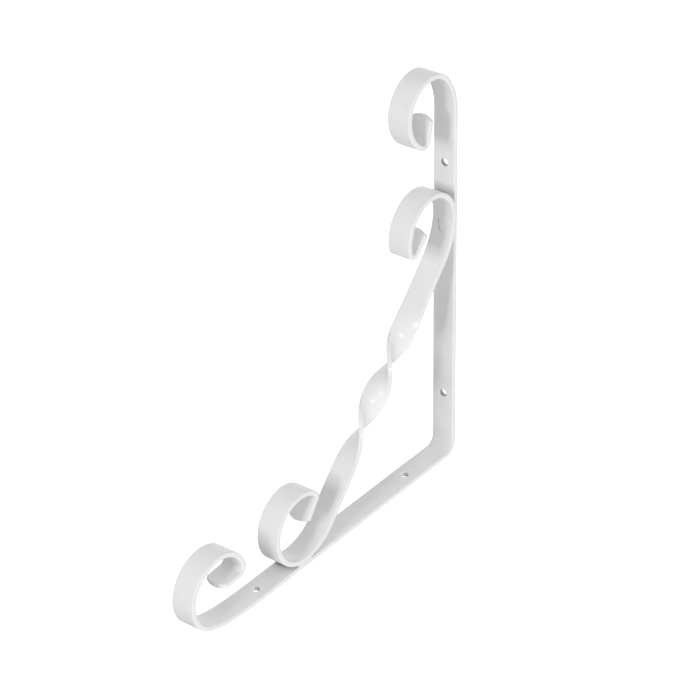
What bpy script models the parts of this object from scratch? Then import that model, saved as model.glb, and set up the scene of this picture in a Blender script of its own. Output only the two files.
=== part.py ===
"""Decorative steel bracket for a small shelf, in two white powder-coated strips.

The angle bar is a flat strip bent square, with a scroll at the end of each leg and two countersunk
screw holes in each leg. The brace bar is a strip of the same size, with a scroll at each end and
one full left-hand twist in its straight run. Its scrolls rest on the two legs, where it is welded.

Metres. X runs across the strips, -Y out from the wall and +Z up. The wall leg's back lies in the
plane y = 0, and the origin is on it, midway between that leg's screw holes. Each bar's route is
drawn in the bracket's own plane, as (out, up) from the outer corner of the angle.
"""

from math import ceil, cos, pi, radians, sin

import bmesh
import bpy
from mathutils import Vector

STRIP_WIDTH = 0.0119
STRIP_THICKNESS = 0.0026
EDGE_ROUNDING = 0.0003
END_CROWN = 0.0022  # how far a strip's end stands out at its middle, past its corners
WELD_GAP = 0.0003  # left between the brace and the leg that it rests on
ASIDE = 0.0017  # how far to the +X side the brace leans from its foot to its top weld

CORNER_RADIUS = 0.0063  # at the middle of the strip

# A scroll is its bends in order from the leg, as (radius at the middle of the strip, degrees),
# and then the straight stretch that it ends in.
WALL_SCROLL_START = 0.18477
WALL_SCROLL = ((0.02985, 34.3), (0.01637, 166.9), (0.01909, 39.8), (0.00329, 107.0))
WALL_SCROLL_END = 0.0112
SHELF_SCROLL_START = 0.1446
SHELF_SCROLL = ((0.3428, 3.5), (0.0707, 15.1), (0.0173, 128.9), (0.01809, 103.5), (0.00353, 105.4))
SHELF_SCROLL_END = 0.0116

BRACE_HEADING = 130.8  # degrees from the shelf leg's direction, going up
BRACE_STRAIGHT = 0.1304
TWIST_START = 0.0141  # down the straight run, from the top scroll
TWIST_END = 0.1127
TWIST_EASE = 0.34  # share of the twist in which it gathers, and again in which it fades
TWIST_DEGREES = -360
TOP_SCROLL = ((0.03352, 35.2), (0.01721, 165.8), (0.01949, 30.1), (0.00338, 123.1))
TOP_SCROLL_END = 0.0111
BOTTOM_SCROLL = ((0.02682, 48.8), (0.0187, 100.3), (0.01652, 122.3), (0.0024, 83.6))
BOTTOM_SCROLL_END = 0.0124

WALL_HOLES_UP = (0.0327, 0.1578)
SHELF_HOLES_OUT = (0.0337, 0.1469)
HOLE_RADIUS = 0.0019
COUNTERSINK_RADIUS = 0.0022

ARC_STEP = 6  # degrees of bend for each facet
TIGHT_ARC_STEP = 16
TIGHT_RADIUS = 0.006
TWIST_STEP = 10  # degrees of twist for each row
COLUMNS = 4  # facets across the strip
HOLE_SIDES = 24

ORIGIN_UP = sum(WALL_HOLES_UP) / 2


class Route:
    """A strip's middle line in the bracket's plane: stations of (point, heading) on runs and arcs."""

    def __init__(self, start, heading_degrees):
        self.point = Vector(start)
        self.heading = radians(heading_degrees)
        self.stations = [(self.point.copy(), self.heading)]

    def advance(self, length, turn, steps):
        """Adds equal steps along one arc, or along a straight run where turn is 0."""
        chord = length / steps
        if turn:
            half = turn / steps / 2
            chord *= sin(half) / half
        for _ in range(steps):
            middle = self.heading + turn / steps / 2
            self.point = self.point + chord * Vector((cos(middle), sin(middle)))
            self.heading += turn / steps
            self.stations.append((self.point.copy(), self.heading))

    def straight(self, length, steps=1):
        self.advance(length, 0.0, steps)

    def scroll(self, bends, end, side):
        """Bends to the left where side is 1 and to the right where it is -1."""
        for radius, degrees in bends:
            facet = TIGHT_ARC_STEP if radius < TIGHT_RADIUS else ARC_STEP
            self.advance(radius * radians(degrees), side * radians(degrees), ceil(degrees / facet))
        self.straight(end, steps=2)


def reversed_stations(stations):
    return [(point, heading + pi) for point, heading in reversed(stations)]


def twist_share(x):
    """Share of the whole twist made by the share x of its length."""
    x = min(max(x, 0.0), 1.0)
    if x > 0.5:
        return 1 - twist_share(1 - x)
    if x >= TWIST_EASE:
        return (x - TWIST_EASE / 2) / (1 - TWIST_EASE)
    q = x / TWIST_EASE
    return TWIST_EASE * (q**3 - q**4 / 2) / (1 - TWIST_EASE)


def ribbon(name, stations, rolls, asides, collection):
    """A strip's middle surface as rows of points, made solid by Solidify and Bevel."""
    mesh = bmesh.new()
    rows = []
    for index, ((point, heading), roll, aside) in enumerate(zip(stations, rolls, asides)):
        along = Vector((0, -cos(heading), sin(heading)))
        normal = Vector((0, sin(heading), cos(heading)))
        across = Vector((cos(roll), 0, 0)) + sin(roll) * normal
        middle = Vector((aside, -point.x, point.y - ORIGIN_UP))
        outward = {0: -1, len(stations) - 1: 1}.get(index, 0)
        row = []
        for column in range(COLUMNS + 1):
            share = 2 * column / COLUMNS - 1
            set_back = outward * END_CROWN * share**2
            row.append(mesh.verts.new(middle + across * share * STRIP_WIDTH / 2 - along * set_back))
        rows.append(row)
    for low, high in zip(rows, rows[1:]):
        for column in range(COLUMNS):
            mesh.faces.new((low[column], low[column + 1], high[column + 1], high[column]))
    data = bpy.data.meshes.new(name)
    mesh.to_mesh(data)
    mesh.free()
    strip = bpy.data.objects.new(name, data)
    collection.objects.link(strip)

    solidify = strip.modifiers.new("strip thickness", "SOLIDIFY")
    solidify.thickness = STRIP_THICKNESS
    solidify.offset = 0
    solidify.use_even_offset = True
    bevel = strip.modifiers.new("rolled edges", "BEVEL")
    bevel.width = EDGE_ROUNDING
    bevel.segments = 1
    bevel.limit_method = "ANGLE"
    bevel.angle_limit = radians(50)
    bevel.use_clamp_overlap = True
    return strip


def angle_bar_stations():
    inset = CORNER_RADIUS + STRIP_THICKNESS / 2
    up = Route((STRIP_THICKNESS / 2, inset), 90)
    up.straight(WALL_SCROLL_START - inset)
    up.scroll(WALL_SCROLL, WALL_SCROLL_END, -1)

    corner = Route((STRIP_THICKNESS / 2, inset), -90)
    corner.advance(CORNER_RADIUS * pi / 2, pi / 2, 10)

    out = Route((inset, STRIP_THICKNESS / 2), 0)
    out.straight(SHELF_SCROLL_START - inset)
    out.scroll(SHELF_SCROLL, SHELF_SCROLL_END, 1)
    return reversed_stations(up.stations) + corner.stations[1:-1] + out.stations


def brace_bar_stations():
    """The stations from the top scroll's end to the bottom scroll's, and each one's roll and lean."""
    top = Route((0, 0), BRACE_HEADING)
    top.scroll(TOP_SCROLL, TOP_SCROLL_END, -1)
    leftmost = min(point.x for point, _ in top.stations)

    down = Route((0, 0), BRACE_HEADING + 180)
    down.straight(TWIST_START, steps=2)
    twist_steps = ceil(abs(TWIST_DEGREES) / TWIST_STEP)
    down.straight(TWIST_END - TWIST_START, steps=twist_steps)
    down.straight(BRACE_STRAIGHT - TWIST_END, steps=2)
    rolls = [0.0] * 3
    rolls += [radians(TWIST_DEGREES) * twist_share((k + 1) / twist_steps) for k in range(twist_steps)]
    down.scroll(BOTTOM_SCROLL, BOTTOM_SCROLL_END, 1)
    lowest = min(point.y for point, _ in down.stations)

    rest = STRIP_THICKNESS * 1.5 + WELD_GAP
    shift = Vector((rest - leftmost, rest - lowest))
    stations = reversed_stations(top.stations) + down.stations[1:]
    rolls = [0.0] * (len(top.stations) - 1) + rolls
    rolls += [radians(TWIST_DEGREES)] * (len(stations) - len(rolls))
    slope = Vector((cos(radians(BRACE_HEADING)), sin(radians(BRACE_HEADING))))
    asides = []
    for point, _ in stations:
        risen = min(max(1 + point.dot(slope) / BRACE_STRAIGHT, 0.0), 1.0)
        asides.append(ASIDE * risen)
    return [(point + shift, heading) for point, heading in stations], rolls, asides


def cutter(name, radius, radius_at_face, depth, place, turn, collection):
    """A round cutter that stands across a leg, its wider end at the face that the screw goes in."""
    bpy.ops.mesh.primitive_cone_add(
        vertices=HOLE_SIDES,
        radius1=radius,
        radius2=radius_at_face,
        depth=depth,
        location=place,
        rotation=turn,
    )
    tool = bpy.context.object
    tool.name = name
    tool.display_type = "WIRE"
    tool.hide_render = True
    for owner in list(tool.users_collection):
        owner.objects.unlink(tool)
    collection.objects.link(tool)
    return tool


def cut_screw_holes(bar, collection):
    """Each hole is a straight bore and a shallow cone that opens at the inner face of its leg."""
    reach = 0.0005  # how far the cone runs on past the face
    cone = COUNTERSINK_RADIUS - HOLE_RADIUS
    holes = [("wall", (0, up - ORIGIN_UP), (pi / 2, 0, 0)) for up in WALL_HOLES_UP]
    holes += [("shelf", (out, -ORIGIN_UP), (0, 0, 0)) for out in SHELF_HOLES_OUT]
    for index, (leg, (out, up), turn) in enumerate(holes):
        inward = Vector((0, -1, 0)) if leg == "wall" else Vector((0, 0, 1))
        centre = Vector((0, -out, up)) + inward * STRIP_THICKNESS / 2
        face = Vector((0, -out, up)) + inward * STRIP_THICKNESS
        tools = (
            cutter(f"{leg}_bore_{index}", HOLE_RADIUS, HOLE_RADIUS, 3 * STRIP_THICKNESS, centre, turn, collection),
            cutter(
                f"{leg}_countersink_{index}",
                HOLE_RADIUS,
                COUNTERSINK_RADIUS + reach,
                cone + reach,
                face + inward * (reach - cone) / 2,
                turn,
                collection,
            ),
        )
        for tool in tools:
            cut = bar.modifiers.new(tool.name, "BOOLEAN")
            cut.operation = "DIFFERENCE"
            cut.solver = "EXACT"
            cut.object = tool


def powder_coat(name):
    coat = bpy.data.materials.new(name)
    coat.use_nodes = True
    shader = coat.node_tree.nodes["Principled BSDF"]
    shader.inputs["Base Color"].default_value = (0.86, 0.86, 0.87, 1)
    shader.inputs["Roughness"].default_value = 0.35
    shader.inputs["Metallic"].default_value = 0
    return coat


def main():
    for leftover in list(bpy.data.objects):
        bpy.data.objects.remove(leftover)
    bracket = bpy.data.collections.new("decorative_steel_bracket")
    cutters = bpy.data.collections.new("cutters")
    bpy.context.scene.collection.children.link(bracket)
    bpy.context.scene.collection.children.link(cutters)

    stations = angle_bar_stations()
    flat = [0.0] * len(stations)
    angle_bar = ribbon("angle_bar", stations, flat, flat, bracket)
    cut_screw_holes(angle_bar, cutters)
    angle_bar.data.materials.append(powder_coat("white_powder_coat_angle_bar"))

    stations, rolls, asides = brace_bar_stations()
    brace_bar = ribbon("brace_bar", stations, rolls, asides, bracket)
    brace_bar.data.materials.append(powder_coat("white_powder_coat_brace_bar"))


main()
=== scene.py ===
"""Decorative steel shelf bracket: two bars of white powder-coated flat steel, welded where they touch.

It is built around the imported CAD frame, in metres: X runs across the bars, -Y out from the wall and
+Z up. Each bar's line is drawn in the bracket's own plane, as (out, up) from the outer corner.
"""

from math import ceil, cos, pi, radians, sin

import bmesh
import bpy
from mathutils import Matrix, Vector


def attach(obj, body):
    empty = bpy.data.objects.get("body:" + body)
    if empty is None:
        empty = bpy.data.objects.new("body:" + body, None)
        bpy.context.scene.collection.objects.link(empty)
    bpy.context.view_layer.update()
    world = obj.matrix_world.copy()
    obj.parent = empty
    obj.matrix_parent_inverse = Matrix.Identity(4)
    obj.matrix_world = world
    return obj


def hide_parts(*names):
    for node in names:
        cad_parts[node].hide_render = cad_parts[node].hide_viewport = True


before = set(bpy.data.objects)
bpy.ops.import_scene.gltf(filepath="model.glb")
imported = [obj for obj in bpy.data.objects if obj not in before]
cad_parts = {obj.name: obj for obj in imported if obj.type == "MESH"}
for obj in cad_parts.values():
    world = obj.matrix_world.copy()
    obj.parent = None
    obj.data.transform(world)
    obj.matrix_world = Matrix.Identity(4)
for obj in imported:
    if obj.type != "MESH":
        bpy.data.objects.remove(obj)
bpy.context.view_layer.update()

# Angle bar: one flat of mild steel, rolled into a scroll at each end, cold bent square at the corner
# and drilled for two screws in each leg. Its ends are cropped to a slight crown. It is screwed to
# the wall by one leg and to the shelf by the other, and it is coated after the brace is welded on.

bar_width = 0.0119
bar_thickness = 0.0026
film_allowance = 0.00001  # how far the coated faces lie inside the nominal thickness
edge_radius = 0.00045
edge_facets = 4  # round each edge of the bar
face_columns = 12  # across its flat
end_crown = 0.0022  # how far an end stands out at its middle, past its corners
corner_height = 0.09525  # the origin's height over the outer corner

corner_radius = 0.0063  # this and the scrolls' radii are at the middle of the thickness
wall_leg = 0.18477
wall_scroll = [(0.02985, 34.3), (0.01637, 166.9), (0.01909, 39.8), (0.00329, 107.0)]
wall_scroll_end = 0.0112
shelf_leg = 0.1446
shelf_scroll = [(0.3428, 3.5), (0.0707, 15.1), (0.0173, 128.9), (0.01809, 103.5), (0.00353, 105.4)]
shelf_scroll_end = 0.0116

wall_holes_up = (0.0327, 0.1578)
shelf_holes_out = (0.0337, 0.1469)
hole_radius = 0.0019
sink_radius = 0.0022

wall_weld_up = 0.1326  # where the brace's upper scroll touches the wall leg
shelf_wedge_out = 0.1216  # 4 mm past the place where its lower scroll touches the shelf leg


def in_space(out, up, aside=0.0):
    """A point of the bracket's own plane, moved aside to +X."""
    return Vector((aside, -out, up - corner_height))


def bend(start, heading, moves):
    """Stations (point, heading) along straight runs (length, 0) and bends (radius, degrees)."""
    degrees_a_station = 3
    length_a_station = 0.004
    point = Vector(start)
    heading = radians(heading)
    stations = [(point.copy(), heading)]
    for size, degrees in moves:
        turn = radians(degrees)
        steps = ceil(abs(degrees) / degrees_a_station) if turn else max(2, ceil(size / length_a_station))
        chord = size / steps
        if turn:
            chord = 2 * size * sin(abs(turn) / steps / 2)
        for _ in range(steps):
            middle = heading + turn / steps / 2
            point = point + chord * Vector((cos(middle), sin(middle)))
            heading += turn / steps
            stations.append((point.copy(), heading))
    return stations


def scroll(bends, end, side):
    """A scroll's bends, to the left where side is 1 and to the right where it is -1, and its end."""
    return [(radius, side * degrees) for radius, degrees in bends] + [(end, 0)]


def back_along(stations):
    return [(point, heading + pi) for point, heading in reversed(stations)]


def section(inset):
    """Half of the bar's rounded section, (across, through) from one edge to the other."""
    radius = edge_radius - inset
    side = bar_width / 2 - edge_radius
    top = bar_thickness / 2 - film_allowance - edge_radius

    def rounded_edge(x, first_degrees):
        angles = [radians(first_degrees - 90 * k / edge_facets) for k in range(edge_facets + 1)]
        return [(x + radius * cos(angle), top + radius * sin(angle)) for angle in angles]

    flat = [(side * (2 * k / face_columns - 1), top + radius) for k in range(1, face_columns)]
    return rounded_edge(-side, 180) + flat + rounded_edge(side, 90)


def object_from(mesh, name):
    bmesh.ops.recalc_face_normals(mesh, faces=mesh.faces)
    data = bpy.data.meshes.new(name)
    mesh.to_mesh(data)
    mesh.free()
    piece = bpy.data.objects.new(name, data)
    bpy.context.scene.collection.objects.link(piece)
    return piece


def join_rings(mesh, rings):
    count = len(rings[0])
    for low, high in zip(rings, rings[1:]):
        for k in range(count):
            n = (k + 1) % count
            mesh.faces.new((low[k], low[n], high[n], high[k]))


def roll_bar(name, stations, rolls, asides):
    """Sweeps the section along the stations, with rounded, crowned ends."""
    end_degrees = [0, 22.5, 45, 67.5, 80]  # round an end's edge; at 90 the section would have no rounding
    rows = []
    last = len(stations) - 1
    for index, ((point, heading), roll, aside) in enumerate(zip(stations, rolls, asides)):
        along = Vector((0, -cos(heading), sin(heading)))
        normal = Vector((0, sin(heading), cos(heading)))
        across = cos(roll) * Vector((1, 0, 0)) + sin(roll) * normal
        through = cos(roll) * normal - sin(roll) * Vector((1, 0, 0))
        middle = in_space(point.x, point.y, aside)
        if index not in (0, last):
            rows.append((middle, across, through, 0.0, None))
            continue
        outward = along if index == last else -along
        order = end_degrees if index == last else reversed(end_degrees)
        for degrees in order:
            back = edge_radius * (1 - sin(radians(degrees)))
            inset = edge_radius * (1 - cos(radians(degrees)))
            rows.append((middle - back * outward, across, through, inset, outward))

    mesh = bmesh.new()
    rings = []
    for middle, across, through, inset, outward in rows:
        half = section(inset)
        ring = []
        for x, y in half + [(x, -y) for x, y in reversed(half)]:
            place = middle + x * across + y * through
            if outward:
                place -= outward * end_crown * (2 * x / bar_width) ** 2
            ring.append(mesh.verts.new(place))
        rings.append(ring)
    join_rings(mesh, rings)
    count = len(rings[0])
    for ring in (rings[0], rings[-1]):
        for k in range(count // 2 - 1):
            mesh.faces.new((ring[k], ring[k + 1], ring[count - 2 - k], ring[count - 1 - k]))
    return object_from(mesh, name)


def screw_hole_cutter(face_centre, inward):
    """A turned shape that removes one screw hole. inward points out of the face that it opens in."""
    cone = sink_radius - hole_radius  # as deep as it is wide, at 45 degrees
    lip = 0.0001  # about how wide the coat makes each softened edge
    skin = 0.000015  # the softened edges start just under the coated faces
    clear = 0.001  # how far the shape runs on past each face
    profile = [
        (sink_radius + 2.4 * lip, clear),
        (sink_radius + 2.4 * lip, -skin),
        (sink_radius + 0.9 * lip, -0.3 * lip),
        (sink_radius - 0.9 * lip, -1.3 * lip),
        (hole_radius + 0.8 * lip, -cone),
        (hole_radius, -cone - 1.2 * lip),
        (hole_radius, -bar_thickness + 1.5 * lip),
        (hole_radius + 0.5 * lip, -bar_thickness + 0.5 * lip),
        (hole_radius + 1.5 * lip, -bar_thickness + skin),
        (hole_radius + 1.5 * lip, -bar_thickness - clear),
    ]
    sideways = Vector((1, 0, 0))
    third = inward.cross(sideways)
    sides = 48
    mesh = bmesh.new()
    rings = []
    for radius, height in profile:
        ring = []
        for k in range(sides):
            angle = 2 * pi * k / sides
            spoke = cos(angle) * sideways + sin(angle) * third
            ring.append(mesh.verts.new(face_centre + radius * spoke + height * inward))
        rings.append(ring)
    join_rings(mesh, rings)
    mesh.faces.new(rings[0])
    mesh.faces.new(rings[-1])
    return object_from(mesh, "screw_hole")


def apply_modifiers(piece):
    depsgraph = bpy.context.evaluated_depsgraph_get()
    finished = bpy.data.meshes.new_from_object(piece.evaluated_get(depsgraph))
    piece.modifiers.clear()
    piece.data = finished


def srgb(code):
    """A hex colour as linear values."""
    values = [int(code[k : k + 2], 16) / 255 for k in (1, 3, 5)]
    return [v / 12.92 if v <= 0.04045 else ((v + 0.055) / 1.055) ** 2.4 for v in values] + [1]


def add_node(tree, kind, inputs=(), **settings):
    """Adds a node. inputs are (name or index, the value to set or the socket to link)."""
    node = tree.nodes.new(kind)
    for name, value in settings.items():
        setattr(node, name, value)
    for key, value in inputs:
        if isinstance(value, bpy.types.NodeSocket):
            tree.links.new(node.inputs[key], value)
        else:
            node.inputs[key].default_value = value
    return node


def distance_from(tree, place, centre, weights):
    """Distance of the shaded point from centre, with its share along each axis times its weight."""
    offset = add_node(
        tree, "ShaderNodeVectorMath", [(0, place), (1, centre)], operation="SUBTRACT"
    ).outputs["Vector"]
    weighted = add_node(
        tree, "ShaderNodeVectorMath", [(0, offset), (1, weights)], operation="MULTIPLY"
    ).outputs["Vector"]
    return add_node(tree, "ShaderNodeVectorMath", [(0, weighted)], operation="LENGTH").outputs["Value"]


def powder_coat(name, painted_shade_places):
    """White polyester powder, baked after welding into a skin of about 0.08 mm.

    It gives an even, neutral white with a satin gloss, a fine orange peel and softly blurred
    highlights. It is painted greyer, as painted shade for the dim bores and wedges, in the places it is
    given: (centre, weights of the axes, distance up to which the painted shade is darkest, distance from
    which the white is whole again, the way that the face looks or None for any, tone where it is darkest).
    """
    film_patch = 0.009
    peel_spacing = 0.0013  # from crest to crest
    peel_range = 0.00002  # over the noise's whole range, so the crests are a few micrometres high
    coat = bpy.data.materials.new(name)
    coat.use_nodes = True
    tree = coat.node_tree
    shader = tree.nodes["Principled BSDF"]
    place = add_node(tree, "ShaderNodeTexCoord").outputs["Object"]
    # the film, and with it the white and the gloss, varies very slightly from patch to patch
    film = add_node(
        tree,
        "ShaderNodeTexNoise",
        [("Vector", place), ("Scale", 1 / film_patch), ("Detail", 2.0), ("Roughness", 0.5)],
    ).outputs["Fac"]
    tone = add_node(tree, "ShaderNodeValToRGB", [("Fac", film)])
    tone.color_ramp.elements[0].position = 0.3
    tone.color_ramp.elements[0].color = srgb("#EEEEEF")
    tone.color_ramp.elements[1].position = 0.7
    tone.color_ramp.elements[1].color = srgb("#F2F2F3")
    colour = tone.outputs["Color"]
    # painted shade: each place darkens the white towards its tone
    for centre, weights, darkest_within, whole, facing, shade_tone in painted_shade_places:
        distance = distance_from(tree, place, centre, weights)
        shade_share = add_node(
            tree,
            "ShaderNodeMapRange",
            [("Value", distance), (1, darkest_within), (2, whole), (3, 1.0), (4, 0.0)],
            interpolation_type="SMOOTHSTEP",
        ).outputs["Result"]
        if facing:
            normal = add_node(tree, "ShaderNodeNewGeometry").outputs["True Normal"]
            looks = add_node(
                tree, "ShaderNodeVectorMath", [(0, normal), (1, facing)], operation="DOT_PRODUCT"
            ).outputs["Value"]
            towards = add_node(
                tree, "ShaderNodeMapRange", [("Value", looks), (1, 0.5), (2, 0.7)]
            ).outputs["Result"]
            shade_share = add_node(
                tree, "ShaderNodeMath", [(0, shade_share), (1, towards)], operation="MULTIPLY"
            ).outputs["Value"]
        colour = add_node(
            tree,
            "ShaderNodeMix",
            [(0, shade_share), (6, colour), (7, srgb(shade_tone))],
            data_type="RGBA",
        ).outputs[2]
    gloss = add_node(
        tree, "ShaderNodeMapRange", [("Value", film), (1, 0.3), (2, 0.7), (3, 0.24), (4, 0.27)]
    )
    # the orange peel, which shows only in the highlights
    peel = add_node(
        tree,
        "ShaderNodeTexNoise",
        [("Vector", place), ("Scale", 1 / peel_spacing), ("Detail", 1.5), ("Roughness", 0.5)],
    )
    peel_bump = add_node(
        tree,
        "ShaderNodeBump",
        [("Height", peel.outputs["Fac"]), ("Strength", 0.3), ("Distance", peel_range)],
    )
    tree.links.new(shader.inputs["Base Color"], colour)
    tree.links.new(shader.inputs["Roughness"], gloss.outputs["Result"])
    tree.links.new(shader.inputs["Normal"], peel_bump.outputs["Normal"])
    shader.inputs["Metallic"].default_value = 0
    shader.inputs["IOR"].default_value = 1.5
    return coat


def coat_piece(piece, coat):
    """Gives a piece its coat and hangs it on the bracket's one body."""
    piece.data.materials.clear()
    piece.data.materials.append(coat)
    piece.data.shade_smooth()
    piece.data.set_sharp_from_angle(angle=radians(35))
    even = piece.modifiers.new("even normals", "WEIGHTED_NORMAL")
    even.mode = "FACE_AREA"
    even.keep_sharp = True
    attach(piece, "root")


corner_reach = corner_radius + bar_thickness / 2
corner_top = (bar_thickness / 2, corner_reach)
wall_side = bend(
    corner_top, 90, [(wall_leg - corner_reach, 0)] + scroll(wall_scroll, wall_scroll_end, -1)
)
corner_and_shelf_side = bend(
    corner_top,
    -90,
    [(corner_radius, 90), (shelf_leg - corner_reach, 0)] + scroll(shelf_scroll, shelf_scroll_end, 1),
)
angle_line = back_along(wall_side) + corner_and_shelf_side[1:]
flat = [0.0] * len(angle_line)
angle_bar = roll_bar("angle_bar_coated", angle_line, flat, flat)

out_from_wall = Vector((0, -1, 0))
up_from_shelf_leg = Vector((0, 0, 1))
holes = [(in_space(bar_thickness, up), out_from_wall, None) for up in wall_holes_up]
holes += [(in_space(out, bar_thickness), up_from_shelf_leg, out_from_wall) for out in shelf_holes_out]
# tone of the painted shade in the middle of each bore
painted_bore_shade_tone = "#B8B9BA"
bore_shade_darkest_within = 0.0021  # from the bore's middle, so that the painted shade leaves its two rims white
bore_shade_gone_from = 0.00235
painted_shade_places = []
for face_centre, inward, shaded_side in holes:
    tool = screw_hole_cutter(face_centre, inward)
    drill = angle_bar.modifiers.new("screw hole", "BOOLEAN")
    drill.operation = "DIFFERENCE"
    drill.solver = "EXACT"
    drill.object = tool
    apply_modifiers(angle_bar)
    bpy.data.objects.remove(tool)
    # painted shade: the middle of each bore is painted greyer, and in the shelf leg only the side of each
    # bore nearer the corner
    bore_middle = face_centre - inward * bar_thickness / 2
    painted_shade_places.append((bore_middle, (1, 1, 1), bore_shade_darkest_within, bore_shade_gone_from, shaded_side, painted_bore_shade_tone))
# painted shade also darkens the wedges between each leg and the scroll that touches it. A wedge is given
# by its centre, weights and two distances, which draw a soft oval of painted shade on the leg by the weld
wall_wedge = (in_space(bar_thickness, wall_weld_up, -0.001), (1.14, 0, 1), 0.0094, 0.0112)
shelf_wedge = (in_space(shelf_wedge_out, bar_thickness, -bar_width / 2), (0.5, 1, 0), 0.003, 0.0066)
painted_wall_wedge_shade = "#C4C5C7"
painted_shelf_wedge_shade = "#939496"
painted_shade_places += [
    (*wall_wedge, out_from_wall, painted_wall_wedge_shade),
    (*shelf_wedge, up_from_shelf_leg, painted_shelf_wedge_shade),
]
coat_piece(angle_bar, powder_coat("white_powder_coat_on_angle_bar", painted_shade_places))
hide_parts("angle_bar")

# Brace bar: a second flat of the same steel with a scroll at each end, gripped cold at two places
# and given one full left-hand turn between them. Its scrolls touch the two legs, where they are
# welded, and its upper end was set down a little to the +X side.

brace_heading = 130.8  # degrees from the shelf leg's direction, going up
brace_run = 0.1304  # its straight run, from scroll to scroll
twist_start = 0.0141  # down the run from the upper scroll
twist_end = 0.1127
twist_ease = 0.34  # share of the twist in which it gathers, and again in which it fades
twist_degrees = -360
brace_lean = 0.0017  # how far its upper end stands to the +X side of its foot
weld_gap = 0.0003
top_scroll = [(0.03352, 35.2), (0.01721, 165.8), (0.01949, 30.1), (0.00338, 123.1)]
top_scroll_end = 0.0111
bottom_scroll = [(0.02682, 48.8), (0.0187, 100.3), (0.01652, 122.3), (0.0024, 83.6)]
bottom_scroll_end = 0.0124


def twist_share(x):
    """Share of the whole turn made by the share x of its length: it gathers, runs even and fades."""
    x = min(max(x, 0.0), 1.0)
    if x > 0.5:
        return 1 - twist_share(1 - x)
    if x >= twist_ease:
        return (x - twist_ease / 2) / (1 - twist_ease)
    q = x / twist_ease
    return twist_ease * (q**3 - q**4 / 2) / (1 - twist_ease)


twist_length = twist_end - twist_start
twist_rows = 60
top_side = bend((0, 0), brace_heading, scroll(top_scroll, top_scroll_end, -1))
run_down = [(twist_start, 0)]
run_down += [(twist_length / twist_rows, 0)] * twist_rows
run_down += [(brace_run - twist_end, 0)]
run = bend((0, 0), brace_heading + 180, run_down)
bottom_side = bend(run[-1][0], brace_heading + 180, scroll(bottom_scroll, bottom_scroll_end, 1))

rest = 1.5 * bar_thickness + weld_gap
shift = Vector((rest - min(p.x for p, _ in top_side), rest - min(p.y for p, _ in bottom_side)))
line = back_along(top_side) + run[1:] + bottom_side[1:]
run_lengths = [0.0] * len(top_side)
run_lengths += [point.length for point, _ in run[1:]]
run_lengths += [brace_run] * (len(bottom_side) - 1)
brace_line = [(point + shift, heading) for point, heading in line]
shares = [twist_share((length - twist_start) / twist_length) for length in run_lengths]
rolls = [radians(twist_degrees) * share for share in shares]
asides = [brace_lean * (1 - length / brace_run) for length in run_lengths]
brace_bar = roll_bar("brace_bar_coated", brace_line, rolls, asides)

# painted shade: the brace's faces that look at the legs are painted greyer by the welds too, right across
# the bar
painted_brace_wedge_shade = "#9A9B9C"
by_wall_weld = (in_space(bar_thickness, wall_weld_up), (0, 1, 1), 0.0065, 0.008)
by_shelf_weld = (in_space(shelf_wedge_out, bar_thickness), (0, 1, 1), 0.0045, 0.006)
coat_on_brace = powder_coat(
    "white_powder_coat_on_brace",
    [
        (*by_wall_weld, -out_from_wall, painted_brace_wedge_shade),
        (*by_shelf_weld, -up_from_shelf_leg, painted_brace_wedge_shade),
    ],
)

groove_middle = (-0.0005, -0.0063, 0.0318)
groove_half_length = (0.0024, 0.0034)  # it is whole up to the first and gone at the second
groove_half_width = 0.0004
groove_bow_centre = (0.0096, 0, 0.0352)  # the groove is part of a circle seen from the front
groove_bow_radius = 0.01066
pip_centre = (0.0017, -0.0068, 0.0291)
pip_radius = 0.00045
mark_depth = 0.0007  # deeper than the real mark can be, so that so fine a line shows


def press_weld_mark(coat):
    """Opposite the upper weld an electrode's edge left a faint groove, and a pip of spatter at its end."""
    tree = coat.node_tree
    shader = tree.nodes["Principled BSDF"]
    place = add_node(tree, "ShaderNodeTexCoord").outputs["Object"]
    whole, gone = groove_half_length
    from_middle = distance_from(tree, place, groove_middle, (1, 1, 1))
    along_groove = add_node(
        tree, "ShaderNodeMapRange", [("Value", from_middle), (1, whole), (2, gone), (3, 1.0), (4, 0.0)]
    ).outputs["Result"]
    from_axis = distance_from(tree, place, groove_bow_centre, (1, 0, 1))
    from_line = add_node(
        tree, "ShaderNodeMath", [(0, from_axis), (1, groove_bow_radius)], operation="SUBTRACT"
    ).outputs["Value"]
    off_line = add_node(tree, "ShaderNodeMath", [(0, from_line)], operation="ABSOLUTE").outputs["Value"]
    depth = add_node(
        tree,
        "ShaderNodeMapRange",
        [("Value", off_line), (1, 0.0), (2, groove_half_width), (3, 1.0), (4, 0.0)],
    ).outputs["Result"]
    groove = add_node(
        tree, "ShaderNodeMath", [(0, depth), (1, along_groove)], operation="MULTIPLY"
    ).outputs["Value"]
    from_pip = distance_from(tree, place, pip_centre, (1, 1, 1))
    pip = add_node(
        tree, "ShaderNodeMapRange", [("Value", from_pip), (1, 0.0), (2, pip_radius), (3, 1.0), (4, 0.0)]
    ).outputs["Result"]
    relief = add_node(
        tree, "ShaderNodeMath", [(0, pip), (1, groove)], operation="SUBTRACT"
    ).outputs["Value"]
    mark = add_node(
        tree,
        "ShaderNodeBump",
        [
            ("Height", relief),
            ("Strength", 0.8),
            ("Distance", mark_depth),
            ("Normal", shader.inputs["Normal"].links[0].from_socket),
        ],
    )
    tree.links.new(shader.inputs["Normal"], mark.outputs["Normal"])


press_weld_mark(coat_on_brace)
coat_piece(brace_bar, coat_on_brace)
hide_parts("brace_bar")

# Welds: a resistance weld at each place where a scroll touches a leg. The metal squeezed out at the
# joint, and the coat run over it, fill the gap flush with the bars' edges for a few millimetres.

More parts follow.
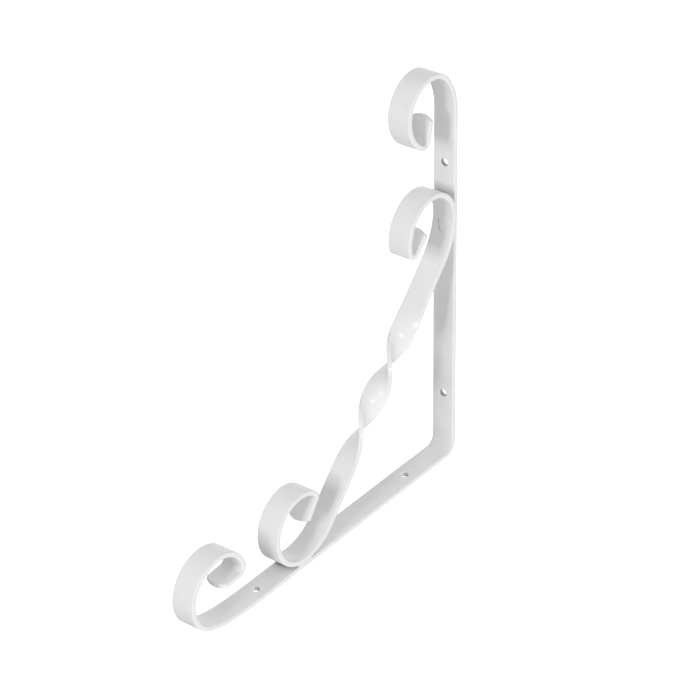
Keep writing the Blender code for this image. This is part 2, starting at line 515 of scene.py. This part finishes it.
weld_reach = 0.0056  # to each side of the contact
weld_bury = 0.0002  # how far the fill runs into each bar
weld_inset = 0.00005  # inside the bars' edges at the contact
weld_taper = 0.0005  # further inside them at its two ends
weld_columns = 16
leg_margin = 0.004  # keeps to the side of the scroll that faces the leg


def weld_at(name, contact, leg_normal, stations):
    """Fills the gap between a leg's inner face and the brace's outer face around their contact."""
    leg_way = Vector((leg_normal.y, leg_normal.x))
    shares = [2 * k / weld_columns - 1 for k in range(weld_columns + 1)]
    mesh = bmesh.new()
    rings = []
    for point, heading, aside in stations:
        slide = (point - contact).dot(leg_way)
        if abs(slide) > weld_reach:
            continue
        foot = leg_way * point.dot(leg_way) + leg_normal * (bar_thickness - weld_bury)
        outward = Vector((-sin(heading), cos(heading)))
        if outward.dot(leg_normal) > 0:
            outward = -outward
        outer = point + outward * (bar_thickness / 2 - weld_bury)
        draw_in = weld_inset + weld_taper * (slide / weld_reach) ** 6
        half_width = bar_width / 2 - draw_in
        ring = []
        for share in shares:
            ring.append(mesh.verts.new(in_space(foot.x, foot.y, half_width * share)))
        for share in reversed(shares):
            ring.append(mesh.verts.new(in_space(outer.x, outer.y, aside + half_width * share)))
        rings.append(ring)
    join_rings(mesh, rings)
    mesh.faces.new(rings[0])
    mesh.faces.new(rings[-1])
    return object_from(mesh, name)


stations = [(point, heading, aside) for (point, heading), aside in zip(brace_line, asides)]
top_part = stations[: len(top_side)]
bottom_part = stations[-len(bottom_side) + 1 :]
wall_contact = min((point for point, _, _ in top_part), key=lambda p: p.x)
shelf_contact = min((point for point, _, _ in bottom_part), key=lambda p: p.y)
near_wall = [s for s in top_part if s[0].x < wall_contact.x + leg_margin]
near_shelf = [s for s in bottom_part if s[0].y < shelf_contact.y + leg_margin]
# painted shade on the welds too, in the same wedges as on the legs
coat_on_welds = powder_coat(
    "white_powder_coat_on_welds",
    [
        (*wall_wedge, up_from_shelf_leg, painted_wall_wedge_shade),
        (*shelf_wedge, out_from_wall, painted_shelf_wedge_shade),
    ],
)
coat_piece(weld_at("weld_on_wall_leg", wall_contact, Vector((1, 0)), near_wall), coat_on_welds)
coat_piece(weld_at("weld_on_shelf_leg", shelf_contact, Vector((0, 1)), near_shelf), coat_on_welds)

# Studio: a white sheet lit from below lies well under the bracket, which is held by its wall leg as in
# use. Broad white panels light it softly all round, with a softbox in front and two small lamps.

sheet_half_width = 8
sheet_drop = 1.2  # below the origin
sheet_mesh = bmesh.new()
bmesh.ops.create_grid(sheet_mesh, x_segments=1, y_segments=1, size=sheet_half_width)
floor = object_from(sheet_mesh, "floor")
floor.location = (0, 0, -sheet_drop)
# opal acrylic lit from below, which gives an even white without gloss or shadow
sheet = bpy.data.materials.new("white_acrylic_sheet_lit_from_below")
sheet.use_nodes = True
sheet_shader = sheet.node_tree.nodes["Principled BSDF"]
sheet_shader.inputs["Base Color"].default_value = srgb("#F4F4F4")
sheet_shader.inputs["Roughness"].default_value = 0.9
sheet_shader.inputs["Emission Color"].default_value = srgb("#FFFFFF")
sheet_shader.inputs["Emission Strength"].default_value = 0.98
floor.data.materials.append(sheet)
floor.visible_diffuse = False
floor.visible_glossy = False
floor.visible_shadow = False

room_level = 0.23
panel_focus = 4.0  # the higher, the narrower each panel's glow
panels = [  # azimuth, elevation, strength
    (0, 0, 0.29),
    (90, 0, 0.31),
    (225, 0, 1.12),
    (90, 48, 0.54),
    (270, 48, 0.37),
    (45, -48, 0.77),
    (135, -48, 0.96),
]
middle_of_bracket = Vector((0, -0.08, 0))
light_distance = 1.5


def heading_to(azimuth, elevation):
    """A direction from the bracket. Azimuth 0 is at -Y and 90 at +X."""
    a = radians(azimuth)
    e = radians(elevation)
    return Vector((sin(a) * cos(e), -cos(a) * cos(e), sin(e)))


def softbox(name, azimuth, elevation, size, power):
    """A square soft light, placed by its direction from the bracket and turned to it."""
    data = bpy.data.lights.new(name, "AREA")
    data.size = size
    data.energy = power
    light = bpy.data.objects.new(name, data)
    light.location = middle_of_bracket + light_distance * heading_to(azimuth, elevation)
    light.rotation_euler = (middle_of_bracket - light.location).to_track_quat("-Z", "Y").to_euler()
    bpy.context.scene.collection.objects.link(light)
    return light


world = bpy.data.worlds.new("studio")
world.use_nodes = True
sky = world.node_tree
ambient = sky.nodes["Background"]
ambient.inputs["Color"].default_value = srgb("#FFFFFF")
direction = add_node(sky, "ShaderNodeTexCoord").outputs["Generated"]
level = add_node(sky, "ShaderNodeValue").outputs["Value"]
level.default_value = room_level
for azimuth, elevation, strength in panels:
    facing = add_node(
        sky,
        "ShaderNodeVectorMath",
        [(0, direction), (1, heading_to(azimuth, elevation))],
        operation="DOT_PRODUCT",
    ).outputs["Value"]
    front = add_node(sky, "ShaderNodeMath", [(0, facing), (1, 0.0)], operation="MAXIMUM")
    glow = add_node(
        sky, "ShaderNodeMath", [(0, front.outputs["Value"]), (1, panel_focus)], operation="POWER"
    )
    level = add_node(
        sky,
        "ShaderNodeMath",
        [(0, glow.outputs["Value"]), (1, strength), (2, level)],
        operation="MULTIPLY_ADD",
    ).outputs["Value"]
# what is seen past the sheet is as white as the sheet
seen = add_node(sky, "ShaderNodeLightPath").outputs["Is Camera Ray"]
shown = add_node(sky, "ShaderNodeMix", [(0, seen), (2, level), (3, 1.0)], data_type="FLOAT")
sky.links.new(ambient.inputs["Strength"], shown.outputs[0])
bpy.context.scene.world = world
key_light = softbox("key_light", 6, 25, 0.35, 5.4)
key_light.visible_glossy = False  # it only lights, and the small lamps give the highlights
softbox("front_lamp", 9, 16, 0.12, 2.6)
softbox("right_lamp", 74, 20, 0.14, 2.7)

# Camera: a long lens at the photograph's own viewing angle. It is turned from the +X side towards the
# front, raised and tilted by the angles below, which were fitted to the photograph.

turn = radians(52.2196)
rise = radians(31.7875)
tilt = radians(-0.859)
target = Vector((0, -0.0748, -0.00209))
distance = 1.24423
backward = Vector((cos(turn) * cos(rise), -sin(turn) * cos(rise), sin(rise)))
level_right = Vector((sin(turn), cos(turn), 0))
level_up = backward.cross(level_right)
right = cos(tilt) * level_right + sin(tilt) * level_up
upward = cos(tilt) * level_up - sin(tilt) * level_right
lens = bpy.data.cameras.new("camera")
lens.lens = 141.744
lens.sensor_width = 36
lens.clip_start = 0.01
lens.clip_end = 50
camera = bpy.data.objects.new("camera", lens)
pose = Matrix((right, upward, backward)).transposed().to_4x4()
pose.translation = target + distance * backward
camera.matrix_world = pose
bpy.context.scene.collection.objects.link(camera)
bpy.context.scene.camera = camera
bpy.context.scene.view_settings.view_transform = "Standard"
